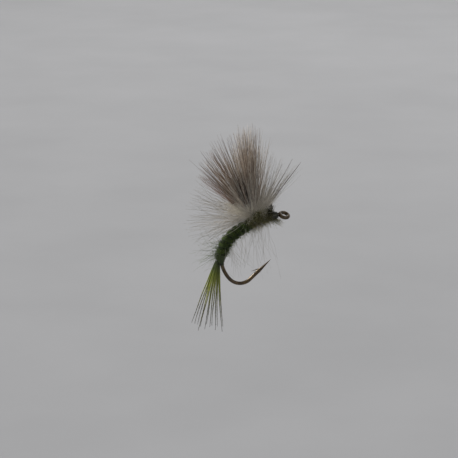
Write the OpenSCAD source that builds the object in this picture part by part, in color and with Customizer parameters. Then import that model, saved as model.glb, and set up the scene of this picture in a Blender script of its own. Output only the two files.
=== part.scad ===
// A dry fly: an upright hair wing over a dubbed fur body, tied on a curved hook with a
// down-turned eye. Sizes are in millimetres. The hook lies in the XZ plane. The origin is
// the middle of the eye, +X points forward past the eye and +Z points up the wing.

/* [Hook] */
// Diameter of the hook wire
wire_d = 0.6; // [0.56:0.01:0.62]
// Radius of the eye ring, to the middle of its wire
eye_ring_r = 0.68; // [0.66:0.01:0.7]
// Radius of the hole through the eye
eye_hole_r = 0.47; // [0.46:0.01:0.5]
// Angle by which the eye is turned down from the level
eye_down = 15; // [5:1:25]
// Angle by which the eye is rolled about the shank
eye_roll = 20; // [0:1:25]
// Slope of the straight front of the shank
front_slope = 18; // [16:1:20]
// Length of the straight front of the shank
front_l = 2.8; // [2.8:0.1:3.2]
// Length of the point that is ground to a taper
taper_l = 2.6; // [2.4:0.1:3.4]
// Length of the barb
barb_l = 1.6; // [0.8:0.1:1.7]
// Angle between the barb and the wire
barb_angle = 27; // [18:1:32]

/* [Body] */
// Diameter of the abdomen at its thickest
abdomen_d = 1.86; // [1.6:0.02:1.9]
// Number of turns of fur rope that show along the abdomen
abdomen_turns = 7; // [5:1:9]
// Diameter of the thorax at its thickest
thorax_d = 2.3; // [2.1:0.05:2.4]
// Diameter of the thread head
head_d = 1.2; // [1.1:0.02:1.3]
// Diameter of the tying thread
thread_d = 0.1; // [0.08:0.01:0.12]

/* [Wing] */
// Length of the longest wing hairs
wing_l = 13.4; // [12:0.2:13.6]
// Number of guard hairs in the wing
wing_hairs = 64; // [40:1:72]
// Lean of the middle of the fan, forward of the wing's foot
wing_lean = 10; // [5:1:15]
// Half of the fan's angle, seen from the side
wing_fan = 48; // [40:1:50]
// Half of the wing's spread, seen from the front
wing_spread = 27; // [20:1:30]
// Diameter of a guard hair at its root
hair_d = 0.07; // [0.05:0.01:0.08]

/* [Tail] */
// Length of the tail beyond its thread turns
tail_l = 12; // [10:0.2:12.4]
// Diameter of a tail fibre
tail_fibre_d = 0.11; // [0.08:0.01:0.12]
// Half of the tail's fan, seen from the side
tail_fan = 12; // [8:1:15]

/* [Hidden] */
$fn = 48;
GOLDEN = 137.508;
GAP = 0.01;
SIDES = 18;

wire_r = wire_d / 2;
thread_r = thread_d / 2;
base_r = wire_r + 0.6 * thread_d;

// The wire behind the eye, as [length, turn] stretches that follow each other without a
// kink: the straight front, the shank's three easy curves, the bend and the point.
PATH = [
    [front_l, 0],
    [4.0, 13],
    [2.8, 22],
    [7.0, 80],
    [3.6, 92],
    [4.75, 0],
];
EYE_REAR = eye_ring_r * [-cos(eye_down), sin(eye_down)];

// Each stretch stops this short of its ends, where a bead a little fatter joins two.
TRIM = 0.02;
BEAD = 0.004;

// Places along the wire, as distances behind the eye.
finish_s = 0.4;
head_s = [0.62, 1.4];
butts_s = 1.7;
thorax_s = [2.06, 5.3];
wing_s = 3.6;
abdomen_s = [5.34, 12.2];
lashing_s = [12.24, 13.44];
base_s = [1.42, 13.6];

// The wing's foot: the hairs spread from a ball that stands above the wire.
foot_h = 1.75;
foot_r = 0.72;
collar_r = [0.46, 0.7];
collar_h = 0.5;
socket_r = 0.76;

// The thorax sits above the wire by this much, over the wing's foot.
THORAX_RISE = 0.4;

TAIL_FIBRES = 12;
TAIL_ROOT_H = base_r + 0.36;
TAIL_ROOT_R = 0.26;
TAIL_ROOT_GAP = 0.05;
TAIL_LIFT = 13;
TAIL_DROOP = 6;
FUZZ_R = 0.018;
SOFT_R = 0.022;

// Distance along the wire at which stretch i starts.
function start_of(i) = i == 0 ? 0 : start_of(i - 1) + PATH[i - 1][0];

// Direction of the wire, in degrees, where stretch i starts.
function heading(i) = i == 0 ? 180 + front_slope : heading(i - 1) + PATH[i - 1][1];

// Move made by a stretch of this length that turns from heading a by t degrees.
function move(a, l, t) =
    t == 0
        ? l * [cos(a), sin(a)]
        : l * 180 / PI / t * [sin(a + t) - sin(a), cos(a) - cos(a + t)];

// Point at which stretch i starts.
function corner(i) =
    i == 0 ? EYE_REAR : corner(i - 1) + move(heading(i - 1), PATH[i - 1][0], PATH[i - 1][1]);

// Stretch that holds the place s.
function stretch(s, i = 0) =
    i == len(PATH) - 1 || s < start_of(i + 1) ? i : stretch(s, i + 1);

// Turn made by the wire between the start of stretch i and the place s.
function turned(i, s) = PATH[i][1] * (s - start_of(i)) / PATH[i][0];

function angle_at(s) = heading(stretch(s)) + turned(stretch(s), s);

function point_at(s) =
    let (i = stretch(s)) corner(i) + move(heading(i), s - start_of(i), turned(i, s));

// Number from -1 to 1 that looks random but is the same each time.
function noise(i, salt = 0) = 2 * rands(0, 1, 1, 1000 * salt + i)[0] - 1;

// Number from -1 to 1 that steps evenly through that range as i grows.
function spread(i) = 2 * (0.618 * i % 1) - 1;

// Point i of n, spread evenly over a disc of radius 1.
function on_disc(i, n) = sqrt((i + 0.5) / n) * [cos(i * GOLDEN), sin(i * GOLDEN)];

module upright() {
    rotate([90, 0, 0])
        children();
}

// Stands its children at the place s: +X runs along the wire, away from the eye, and -Y
// points out of the bend.
module at_wire(s) {
    upright()
        translate(point_at(s))
            rotate(angle_at(s))
                children();
}

// Stands its children at the place s: +Z points out of the bend, +X towards the eye.
module on_wire(s) {
    at_wire(s)
        rotate(-90)
            rotate([-90, 0, -90])
                children();
}

// Sweeps a round section round an arc that starts along +X and turns towards +Y.
module arc(l, turn, r) {
    bend_r = l * 180 / PI / turn;
    translate([0, bend_r])
        rotate(-90)
            rotate_extrude(angle = turn)
                translate([bend_r, 0])
                    circle(r);
}

// Ring k of a sleeve's points, at the place s and at the distance radius(a) from the wire,
// where a is the angle round from the outer side of the bend.
function sleeve_ring(s, radius) =
    let (p = point_at(s), out = [cos(angle_at(s) - 90), sin(angle_at(s) - 90)])
        [for (j = [0 : SIDES - 1])
            let (a = 360 * j / SIDES, q = p + radius(a) * cos(a) * out)
                [q[0], q[1], radius(a) * sin(a)]];

// The faces between two rings of points that start at index i and at index j.
function band(i, j) =
    [for (k = [0 : SIDES - 1]) [i + k, i + (k + 1) % SIDES, j + (k + 1) % SIDES, j + k]];

// A sleeve round the wire from s[0] to s[1], in n steps. outer(t, a) and inner(t, a) are its
// radii at the share t of its length and the angle a.
module sleeve(s, n, outer, inner) {
    places = [for (k = [0 : n]) s[0] + (s[1] - s[0]) * k / n];
    skin = [for (k = [0 : n]) each sleeve_ring(places[k], function (a) outer(k / n, a))];
    lining = [for (k = [0 : n]) each sleeve_ring(places[k], function (a) inner(k / n, a))];
    inside = len(skin);
    upright()
        polyhedron(
            concat(skin, lining),
            concat(
                [for (k = [0 : n - 1]) each band((k + 1) * SIDES, k * SIDES)],
                [for (k = [0 : n - 1]) each band(inside + k * SIDES, inside + (k + 1) * SIDES)],
                band(0, inside),
                band(inside + n * SIDES, n * SIDES)
            ),
            convexity = 6
        );
}

// Straight tapered fibre along +Z.
module straight_fibre(l, r) {
    cylinder(h = l, r1 = r, r2 = r / 3);
}

// Fibre that starts along +Z and turns by this many degrees towards +X.
module bent_fibre(l, r, turn) {
    rotate([-90, -90, 0])
        arc(l, turn, r);
}

// Stands a fibre on the ball of the wing's foot. It leans forward and tilts sideways, both
// in degrees.
module on_foot(lean, tilt) {
    on_wire(wing_s)
        translate([0, 0, foot_h])
            rotate([0, lean, 0])
                rotate([-tilt, 0, 0])
                    translate([0, 0, foot_r + GAP])
                        children();
}

// Stands a fibre r from the wire at the place s, a degrees round from the outer side.
module on_body(s, r, a, lean) {
    on_wire(s)
        rotate([a, 0, 0])
            translate([0, 0, r])
                rotate([0, lean, 0])
                    children();
}

function hair_lean(i) = wing_lean + wing_fan * on_disc(i, wing_hairs)[0];

function hair_tilt(i) = wing_spread * on_disc(i, wing_hairs)[1];

function hair_length(i) =
    wing_l * (0.95 + 0.05 * noise(i)) - 2.4 * max(0, on_disc(i, wing_hairs)[0]);

// The guard hairs whose lean is between two angles.
module wing_hair_group(low, high) {
    for (i = [0 : wing_hairs - 1])
        if (hair_lean(i) >= low && hair_lean(i) < high)
            on_foot(hair_lean(i), hair_tilt(i))
                straight_fibre(hair_length(i), hair_d / 2);
}

// One stretch of the hook's wire between the eye and the point.
module wire_stretch(i) {
    l = PATH[i][0] - 2 * TRIM;
    at_wire(start_of(i) + TRIM)
        if (PATH[i][1] == 0)
            rotate([0, 90, 0])
                cylinder(h = l, r = wire_r);
        else
            arc(l, PATH[i][1] * l / PATH[i][0], wire_r);
}

// Stands its children in the plane of the eye.
module eye_plane() {
    rotate([0, eye_down, 0])
        rotate([eye_roll, 0, 0])
            children();
}

// Joins two stretches of wire at the place s.
module bead(s) {
    at_wire(s)
        rotate([45, 0, 0])
            rotate([0, 90, 0])
                sphere(wire_r + BEAD);
}

module hook() {
    last = len(PATH) - 1;
    point_l = PATH[last][0];
    barb_s = start_of(last) + point_l - 0.85 * taper_l;
    color("#5a4634")
        difference() {
            union() {
                for (i = [0 : last - 1])
                    wire_stretch(i);
                for (i = [1 : last])
                    bead(start_of(i));
                at_wire(start_of(last) + TRIM)
                    rotate([0, 90, 0]) {
                        cylinder(h = point_l - taper_l, r = wire_r);
                        translate([0, 0, point_l - taper_l])
                            cylinder(h = taper_l, r1 = wire_r, r2 = 0.015);
                    }
                at_wire(barb_s)
                    translate([0, 0.08, 0])
                        rotate([0, 90, 180 - barb_angle])
                            cylinder(h = barb_l, r1 = 0.12, r2 = 0.015);
                eye_plane()
                    rotate_extrude()
                        translate([eye_ring_r, 0])
                            circle(wire_r);
            }
            eye_plane()
                cylinder(h = 4 * wire_d, r = eye_hole_r, center = true);
        }
}

module thread_base() {
    color("#26301c")
        sleeve(base_s, 26, function (t, a) base_r, function (t, a) wire_r + GAP);
}

// The tail's fibres leave the rear face of their lashing, spread over a small disc. Each
// one rises out of the bend, then droops.
module tail_fibres() {
    color("#8a8f3c")
        for (i = [0 : TAIL_FIBRES - 1]) {
            place = on_disc(i, TAIL_FIBRES);
            at_wire(lashing_s[1] + GAP)
                translate([0, -TAIL_ROOT_H - TAIL_ROOT_R * place[0], TAIL_ROOT_R * place[1]])
                    rotate([0, -7 * place[1], -TAIL_LIFT - tail_fan * place[0]])
                        translate([TAIL_ROOT_GAP, 0, 0])
                            arc(tail_l * (0.95 + 0.05 * noise(i, 2)), TAIL_DROOP, tail_fibre_d / 2);
        }
}

module tail_lashing() {
    turns = 8;
    color("#2c4a1c")
        sleeve(
            lashing_s,
            2 * turns,
            function (t, a)
                base_r + 0.12 + 0.26 * (1 - t) + (0.1 + 0.46 * t) * max(0, cos(a))
                    + 0.03 * cos(360 * turns * t),
            function (t, a) base_r + GAP
        );
}

// Radius of the abdomen at the share t of its length: it swells towards the tail, and each
// turn of the rope is a small barrel.
function abdomen_r(t) =
    abdomen_d / 2
        * (0.8 + 0.16 * sin(180 * pow(t, 1.5)) + 0.04 * abs(sin(180 * abdomen_turns * t)));

module abdomen_dubbing() {
    color("#2f4a24")
        sleeve(
            abdomen_s,
            4 * abdomen_turns,
            function (t, a) abdomen_r(t),
            function (t, a) base_r + GAP
        );
}

module abdomen_fuzz() {
    count = 40;
    color("#4c6b2c")
        for (i = [0 : count - 1]) {
            t = (i + 0.5) / count;
            on_body(
                abdomen_s[0] + t * (abdomen_s[1] - abdomen_s[0]),
                abdomen_d / 2 + GAP,
                100 * spread(i),
                25 * noise(i, 4)
            )
                bent_fibre(1.1 + 0.4 * noise(i, 5), FUZZ_R, 30);
        }
}

// Distance from the wire to the skin of a thorax of this size, a degrees round from the
// outer side.
function thorax_skin(size, a) =
    size * (THORAX_RISE * cos(a)
        + sqrt(pow(thorax_d / 2, 2) - pow(THORAX_RISE * sin(a), 2)));

module thorax_dubbing() {
    color("#3c3a24")
        difference() {
            sleeve(
                thorax_s,
                14,
                function (t, a) thorax_skin(0.72 + 0.26 * sin(180 * t) + 0.02 * cos(1440 * t), a),
                function (t, a) base_r + GAP
            );
            on_wire(wing_s)
                translate([0, 0, base_r])
                    cylinder(h = thorax_d, r = socket_r);
        }
}

module thorax_fuzz() {
    count = 36;
    ends = 0.4;
    color("#4a4a2c")
        for (i = [0 : count - 1]) {
            a = 180 + 125 * spread(i);
            on_body(
                thorax_s[0] + ends + (i + 0.5) / count * (thorax_s[1] - thorax_s[0] - 2 * ends),
                thorax_skin(1, a) + GAP,
                a,
                30 * noise(i, 7)
            )
                bent_fibre(0.9 + 0.4 * noise(i, 8), FUZZ_R, 35);
        }
}

module wing_stem() {
    color("#6e6258")
        on_wire(wing_s) {
            translate([0, 0, base_r + GAP])
                cylinder(h = foot_h - base_r, r = collar_r[0] - GAP);
            translate([0, 0, foot_h])
                rotate(45)
                    sphere(foot_r);
        }
}

module wing_lashing() {
    color("#26301c")
        on_wire(wing_s)
            translate([0, 0, base_r + GAP])
                difference() {
                    cylinder(h = collar_h, r = collar_r[1]);
                    translate([0, 0, -1])
                        cylinder(h = collar_h + 2, r = collar_r[0]);
                }
}

module wing_centre_hairs() {
    color("#4d423b")
        wing_hair_group(-14, 30);
}

module wing_rear_hairs() {
    color("#6b5a4e")
        wing_hair_group(-90, -14);
}

module wing_front_hairs() {
    strays = 3;
    color("#9a948c") {
        wing_hair_group(30, 90);
        for (i = [0 : strays - 1])
            on_foot(61 + 3.5 * i, 12 - 11 * i)
                straight_fibre(wing_l * (0.82 - 0.03 * i), hair_d / 2);
    }
}

module wing_underfur() {
    count = 30;
    color("#d8d6d0")
        for (i = [0 : count - 1]) {
            a = 360 * i / count;
            on_foot(wing_lean + (70 + 8 * noise(i, 9)) * cos(a), 56 * sin(a))
                bent_fibre(3.4 + 1.2 * noise(i, 10), SOFT_R, 14);
        }
}

module rear_wisps() {
    count = 18;
    color("#b9b6b0")
        for (i = [0 : count - 1])
            on_foot(-52 - 43 * (i + 0.5) / count, 22 * spread(i))
                bent_fibre(10 + 0.6 * noise(i, 12), SOFT_R, 12);
}

module throat_wisps() {
    count = 10;
    color("#a8a69c")
        for (i = [0 : count - 1]) {
            a = 180 + 52 * spread(i);
            on_body(thorax_s[0] + 0.3 + 0.1 * i, thorax_skin(1, a) + GAP, a, 26)
                bent_fibre(5.2 + 1.8 * noise(i, 16), SOFT_R, 14);
        }
}

// The cut ends of the wing's hairs: one bundle in the middle and six round it.
module wing_butts() {
    bundle_r = 0.085;
    color("#35301f")
        on_wire(butts_s)
            for (i = [0 : 6])
                rotate(60 * i)
                    translate([i == 0 ? 0 : 2 * bundle_r + GAP, 0, base_r + GAP])
                        cylinder(h = 1.3 + 0.12 * noise(i, 17), r = bundle_r);
}

// The head's outline: round thread turns that stand on a tapered core.
module head_outline(turns) {
    pitch = (head_s[1] - head_s[0] - thread_d) / (turns - 1);
    front_r = 0.66 * head_d / 2;
    back_r = head_d / 2 - thread_r;
    inside_r = wire_r + GAP;
    l = head_s[1] - head_s[0];
    polygon([
        [inside_r, 0.3 * thread_r],
        [front_r, 0.3 * thread_r],
        [back_r, l / 2],
        [back_r, l - 0.3 * thread_r],
        [inside_r, l - 0.3 * thread_r],
    ]);
    for (k = [0 : turns - 1]) {
        z = thread_r + k * pitch;
        translate([min(back_r, front_r + (back_r - front_r) * 2 * z / l), z])
            circle(thread_r);
    }
}

module head_wraps() {
    color("#1f241a")
        at_wire(head_s[0])
            rotate([0, 90, 0])
                rotate_extrude()
                    head_outline(9);
}

module whip_finish() {
    turns = 2;
    color("#1f241a")
        for (k = [0 : turns - 1])
            at_wire(finish_s + k * (thread_d + GAP))
                rotate([0, 90, 0])
                    rotate_extrude()
                        translate([wire_r + thread_r + GAP, 0])
                            circle(thread_r);
}

module head_varnish() {
    color("#3a3022")
        at_wire(head_s[0])
            rotate([0, 90, 0])
                difference() {
                    cylinder(h = head_s[1] - head_s[0], r = head_d / 2 + 4 * GAP);
                    translate([0, 0, -1])
                        cylinder(h = head_s[1] - head_s[0] + 2, r = head_d / 2 + GAP);
                }
}

hook();
thread_base();
tail_fibres();
tail_lashing();
abdomen_dubbing();
abdomen_fuzz();
thorax_dubbing();
thorax_fuzz();
wing_stem();
wing_lashing();
wing_centre_hairs();
wing_rear_hairs();
wing_front_hairs();
wing_underfur();
rear_wisps();
throat_wisps();
wing_butts();
head_wraps();
whip_finish();
head_varnish();
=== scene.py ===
"""Dry fly: the visible model round the CAD. The hook keeps its CAD shape under a bronzed surface.
Thread, fur, hair and feather are built here as thread turns, skins and real fibres."""
import bpy
import math
import numpy as np
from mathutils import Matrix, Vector


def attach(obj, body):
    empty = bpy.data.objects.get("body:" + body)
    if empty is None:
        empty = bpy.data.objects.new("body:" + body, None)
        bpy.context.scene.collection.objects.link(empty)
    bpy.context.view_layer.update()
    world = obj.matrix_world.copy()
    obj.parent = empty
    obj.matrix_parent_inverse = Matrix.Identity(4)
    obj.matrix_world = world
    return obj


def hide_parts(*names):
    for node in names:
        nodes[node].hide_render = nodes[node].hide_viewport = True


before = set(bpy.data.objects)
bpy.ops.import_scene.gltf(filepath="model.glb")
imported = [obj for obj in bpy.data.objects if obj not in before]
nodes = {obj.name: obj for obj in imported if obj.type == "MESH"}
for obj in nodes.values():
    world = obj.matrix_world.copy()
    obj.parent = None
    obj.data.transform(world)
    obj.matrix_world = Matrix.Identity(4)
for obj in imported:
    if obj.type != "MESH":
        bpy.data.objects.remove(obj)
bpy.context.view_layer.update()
MM = 0.001

# ---------------------------------------------------------------- the hook's wire
# Lengths are in mm until new_object() makes them metres. A place on the wire is given by s, the
# way along it from behind the eye towards the point.
EYE_DOWN, EYE_R = 15.0, 0.68
FRONT_SLOPE = 18.0
# Each stretch of the wire behind the eye: its length, and the degrees it turns through.
PATH = [(2.8, 0.0), (4.0, 13.0), (2.8, 22.0), (7.0, 80.0), (3.6, 92.0), (4.75, 0.0)]
WIRE_R, THREAD_R = 0.30, 0.05
FOOT_S, FOOT_H = 3.6, 1.75
THORAX = (2.06, 4.75)
ABDOMEN = (4.78, 12.2)
LASHING = (12.24, 13.44)
SIDE = np.array([0.0, 1.0, 0.0])


def wire(s):
    """Point and heading (radians) on the wire's middle line, s mm behind the eye."""
    x = -EYE_R * math.cos(math.radians(EYE_DOWN))
    z = EYE_R * math.sin(math.radians(EYE_DOWN))
    a = math.radians(180 + FRONT_SLOPE)
    left = s
    for i, (length, turn) in enumerate(PATH):
        step = left if i == len(PATH) - 1 else min(left, length)
        t = math.radians(turn) * step / length
        if abs(t) < 1e-9:
            x += step * math.cos(a)
            z += step * math.sin(a)
        else:
            r = step / t
            x += r * (math.sin(a + t) - math.sin(a))
            z += r * (math.cos(a) - math.cos(a + t))
        a += t
        left -= step
        if left <= 1e-9:
            break
    return x, z, a


def wire_frame(s):
    """Arrays of points, outward and forward directions along the wire."""
    rows = [wire(v) for v in np.atleast_1d(s)]
    p = np.array([[x, 0.0, z] for x, z, a in rows])
    out = np.array([[math.sin(a), 0.0, -math.cos(a)] for x, z, a in rows])
    along = np.array([[math.cos(a), 0.0, math.sin(a)] for x, z, a in rows])
    return p, out, along


def round_wire(s, radius, angle):
    """Points at a distance from the wire, at an angle (radians) round from its outer side."""
    p, out, along = wire_frame(s)
    radius, angle = np.atleast_1d(radius), np.atleast_1d(angle)
    direction = np.cos(angle)[:, None] * out + np.sin(angle)[:, None] * SIDE
    return p + radius[:, None] * direction, direction, along


def unit(v):
    return v / np.maximum(np.linalg.norm(v, axis=-1, keepdims=True), 1e-12)


def around(count):
    """Angles spaced evenly round a circle."""
    return np.linspace(0, 2 * np.pi, count, endpoint=False)


def part_way(span, share):
    return span[0] + (span[1] - span[0]) * share


# ---------------------------------------------------------------- mesh helpers
def new_object(name, verts, faces, attributes):
    """A smooth mesh piece from points in mm, with named numbers on its points."""
    mesh = bpy.data.meshes.new(name)
    mesh.from_pydata((np.asarray(verts) * MM).tolist(), [], faces)
    for key, values in attributes.items():
        layer = mesh.attributes.new(key, "FLOAT", "POINT")
        layer.data.foreach_set("value", np.asarray(values, dtype=np.float32))
    mesh.polygons.foreach_set("use_smooth", [True] * len(mesh.polygons))
    mesh.validate()
    mesh.update()
    piece = bpy.data.objects.new(name, mesh)
    bpy.context.scene.collection.objects.link(piece)
    return piece


def tube_rings(paths, radii, u, v, sides):
    """Rings of points round paths, in the planes that the directions u and v span."""
    ang = around(sides)
    ring = np.cos(ang)[:, None] * u[..., None, :] + np.sin(ang)[:, None] * v[..., None, :]
    return (paths[..., None, :] + radii[..., None, None] * ring).reshape(-1, 3)


def tube_faces(n, k, sides):
    """Faces of n closed tubes of k rings each."""
    f, j, i = np.meshgrid(np.arange(n), np.arange(k - 1), np.arange(sides), indexing="ij")
    a = (f * k + j) * sides + i
    b = (f * k + j) * sides + (i + 1) % sides
    quads = np.stack([a, b, b + sides, a + sides], -1).reshape(-1, 4).tolist()
    first = (np.arange(n) * k * sides)[:, None]
    start = first + np.arange(sides)[None, ::-1]
    end = first + (k - 1) * sides + np.arange(sides)[None, :]
    return quads + start.tolist() + end.tolist()


def tube_arrays(paths, radii, sides):
    """Tubes round many paths: paths is (n, k, 3), radii is (n, k). Returns verts, faces and
    each point's fibre and share of the way along."""
    n, k, _ = paths.shape
    tangent = unit(np.gradient(paths, axis=1))
    ref = np.tile(np.array([0.13, 0.97, 0.21]), (n, 1))
    parallel = np.abs((ref * tangent[:, k // 2]).sum(1)) > 0.9
    ref[parallel] = np.array([0.9, 0.1, 0.42])
    u = unit(np.cross(tangent, ref[:, None, :]))
    verts = tube_rings(paths, radii, u, np.cross(tangent, u), sides)
    fibre = np.repeat(np.arange(n), k * sides)
    along = np.tile(np.repeat(np.linspace(0, 1, k), sides), n)
    return verts, tube_faces(n, k, sides), fibre, along


def winding_tube(name, points, radius, sides):
    """A piece that is one tube along a path that winds, with a section that doesn't twist."""
    k = len(points)
    tangent = unit(np.gradient(points, axis=0))
    u = np.zeros_like(points)
    u[0] = unit(np.cross(tangent[0], np.array([0.3, 0.2, 0.9])))
    for i in range(1, k):
        v = u[i - 1] - (u[i - 1] @ tangent[i]) * tangent[i]
        u[i] = v / np.linalg.norm(v)
    verts = tube_rings(points, np.full(k, radius), u, np.cross(tangent, u), sides)
    along = np.repeat(np.linspace(0, 1, k), sides)
    return new_object(name, verts, tube_faces(1, k, sides), {"along": along})


def fibres(name, paths, radii, sides=4, tone=None, seed=1):
    """One piece of many fibres. tone is a number per fibre from 0 to 1, at random if not given."""
    verts, faces, fibre, along = tube_arrays(paths, radii, sides)
    if tone is None:
        tone = np.random.default_rng(seed).random(len(paths))
    return new_object(name, verts, faces, {"along": along, "tone": tone[fibre]})


def hair_paths(root, direction, length, points, bend, rng, wave=0.0, waves=2.0, bend_way=None):
    """Paths of single hairs: nearly straight, with a bend and a slight crimp."""
    n = len(root)
    t = np.linspace(0, 1, points)[None, :, None]
    d = unit(direction)
    length = np.asarray(length)[:, None, None]
    base = root[:, None, :] + d[:, None, :] * length * t
    if bend_way is None:
        bend_way = rng.normal(size=(n, 3))
    bend_way = unit(bend_way - (bend_way * d).sum(1, keepdims=True) * d)
    amount = (bend * np.ones(n))[:, None, None]
    base = base + bend_way[:, None, :] * amount * length * t**2
    base = base - d[:, None, :] * (amount**2) * length * 0.5 * t**2
    if wave:
        phase = rng.random((n, 1, 1)) * 2 * np.pi
        size = (wave * (0.5 + rng.random(n)))[:, None, None]
        other = unit(np.cross(d, bend_way))[:, None, :]
        turn = 2 * np.pi * waves * t * (0.7 + 0.6 * rng.random((n, 1, 1)))
        crimp = bend_way[:, None, :] * np.sin(turn + phase) + other * np.cos(turn * 0.8 + phase)
        base = base + size * np.minimum(t * 4, 1) * crimp
    return base


def taper(n, points, r0, r1, r2, peak=0.3):
    """Radius along a hair: r0 at the root, r1 at the peak and r2 at the tip."""
    t = np.linspace(0, 1, points)
    falling = r1 + (r2 - r1) * (np.maximum(t - peak, 0) / (1 - peak)) ** 1.3
    return np.tile(np.where(t < peak, r0 + (r1 - r0) * t / peak, falling), (n, 1))


# ---------------------------------------------------------------- materials
def srgb(r, g, b):
    def f(c):
        c /= 255
        return c / 12.92 if c <= 0.04045 else ((c + 0.055) / 1.055) ** 2.4
    return (f(r), f(g), f(b))


def shades(*stops):
    """Ramp stops from rows of a place and an 8-bit sRGB colour."""
    return [(at, srgb(r, g, b)) for at, r, g, b in stops]


def greys(*stops):
    """Ramp stops from pairs of a place and a grey value."""
    return [(at, (v, v, v)) for at, v in stops]


def material(name):
    m = bpy.data.materials.new(name)
    m.use_nodes = True
    tree = m.node_tree
    tree.nodes.clear()
    out = tree.nodes.new("ShaderNodeOutputMaterial")
    bsdf = tree.nodes.new("ShaderNodeBsdfPrincipled")
    tree.links.new(bsdf.outputs["BSDF"], out.inputs["Surface"])
    return m, tree, bsdf


def ramp(tree, factor, stops):
    node = tree.nodes.new("ShaderNodeValToRGB")
    elements = node.color_ramp.elements
    for i in (0, -1):
        elements[i].position = stops[i][0]
        elements[i].color = (*stops[i][1], 1)
    for at, colour in stops[1:-1]:
        elements.new(at).color = (*colour, 1)
    tree.links.new(factor, node.inputs["Fac"])
    return node.outputs["Color"]


def attribute(tree, key):
    node = tree.nodes.new("ShaderNodeAttribute")
    node.attribute_name = key
    return node.outputs["Fac"]


def math_node(tree, kind, *values):
    """A math node whose inputs are numbers or other nodes' outputs."""
    node = tree.nodes.new("ShaderNodeMath")
    node.operation = kind
    for socket, v in zip(node.inputs, values):
        if isinstance(v, float):
            socket.default_value = v
        else:
            tree.links.new(v, socket)
    return node.outputs[0]


def tinted(tree, colour, tint, amount=1.0):
    """A colour multiplied by a tint, in full or by an amount from 0 to 1."""
    node = tree.nodes.new("ShaderNodeMix")
    node.data_type = "RGBA"
    node.blend_type = "MULTIPLY"
    if isinstance(amount, float):
        node.inputs["Factor"].default_value = amount
    else:
        tree.links.new(amount, node.inputs["Factor"])
    tree.links.new(colour, node.inputs["A"])
    tree.links.new(tint, node.inputs["B"])
    return node.outputs["Result"]


def noise(tree, scale, detail=3.0, rough=0.5, stretch=None):
    node = tree.nodes.new("ShaderNodeTexNoise")
    node.inputs["Scale"].default_value = scale
    node.inputs["Detail"].default_value = detail
    node.inputs["Roughness"].default_value = rough
    place = tree.nodes.new("ShaderNodeTexCoord").outputs["Object"]
    if stretch:
        mapping = tree.nodes.new("ShaderNodeMapping")
        mapping.inputs["Scale"].default_value = stretch
        tree.links.new(place, mapping.inputs["Vector"])
        place = mapping.outputs["Vector"]
    tree.links.new(place, node.inputs["Vector"])
    return node.outputs["Fac"]


def bump(tree, bsdf, height, strength, distance):
    node = tree.nodes.new("ShaderNodeBump")
    node.inputs["Strength"].default_value = strength
    node.inputs["Distance"].default_value = distance
    tree.links.new(height, node.inputs["Height"])
    tree.links.new(node.outputs["Normal"], bsdf.inputs["Normal"])


def hair_material(name, stops, dark, light, roughness=0.5):
    """Hair whose colour changes along it, from hair to hair and in fine mottling. dark and
    light tint the darkest and the lightest hairs."""
    m, tree, bsdf = material(name)
    colour = ramp(tree, attribute(tree, "along"), stops)
    colour = tinted(tree, colour, ramp(tree, attribute(tree, "tone"), [(0.0, dark), (1.0, light)]))
    mottle = ramp(tree, noise(tree, 9000.0, 2.0), greys((0.3, 0.78), (0.7, 1.15)))
    tree.links.new(tinted(tree, colour, mottle), bsdf.inputs["Base Color"])
    bsdf.inputs["Roughness"].default_value = roughness
    bsdf.inputs["Specular IOR Level"].default_value = 0.35
    return m


def finish(piece, mat, slot, *cad):
    """Give a piece its material and body, and hide the CAD nodes that it replaces. slot is not used.
    """
    piece.data.materials.clear()
    piece.data.materials.append(mat)
    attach(piece, "root")
    if cad:
        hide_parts(*cad)


# ---------------------------------------------------------------- hook: bronzed wire
BRONZE, tree, bsdf = material("bronzed_wire")
patches = noise(tree, 1400.0, 4.0, 0.6)
lengthwise = noise(tree, 3000.0, 3.0, 0.6, (1.0, 6.0, 1.0))
colour = ramp(tree, patches, shades((0.3, 48, 35, 14), (0.55, 82, 63, 28), (0.75, 116, 92, 50)))
streaks = ramp(tree, lengthwise, [(0.35, (0.6, 0.55, 0.5)), (0.7, (1.1, 1.05, 1.0))])
tree.links.new(tinted(tree, colour, streaks, 0.6), bsdf.inputs["Base Color"])
tree.links.new(ramp(tree, patches, greys((0.3, 0.34), (0.7, 0.20))), bsdf.inputs["Roughness"])
bsdf.inputs["Metallic"].default_value = 0.75
bsdf.inputs["Coat Weight"].default_value = 0.7
bsdf.inputs["Coat Roughness"].default_value = 0.14
bump(tree, bsdf, lengthwise, 0.15, 0.00002)
hook = nodes["hook"]
for slot in hook.material_slots:
    slot.material = BRONZE
if not hook.material_slots:
    hook.data.materials.append(BRONZE)


# ---------------------------------------------------------------- thread
def thread_material(name, dark, light):
    m, tree, bsdf = material(name)
    strands = noise(tree, 16000.0, 2.0, 0.5, (1.0, 0.25, 1.0))
    colour = ramp(tree, strands, [(0.32, dark), (0.68, light)])
    patches = ramp(tree, noise(tree, 1800.0, 2.0), greys((0.3, 0.75), (0.7, 1.2)))
    tree.links.new(tinted(tree, colour, patches), bsdf.inputs["Base Color"])
    bsdf.inputs["Roughness"].default_value = 0.42
    bsdf.inputs["Sheen Weight"].default_value = 0.1
    bsdf.inputs["Sheen Roughness"].default_value = 0.4
    bump(tree, bsdf, strands, 0.5, 0.00002)
    return m


DARK_THREAD = thread_material("dark_thread", srgb(16, 19, 12), srgb(52, 54, 36))
GREEN_THREAD = thread_material("green_thread", srgb(12, 22, 2), srgb(52, 68, 12))


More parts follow.
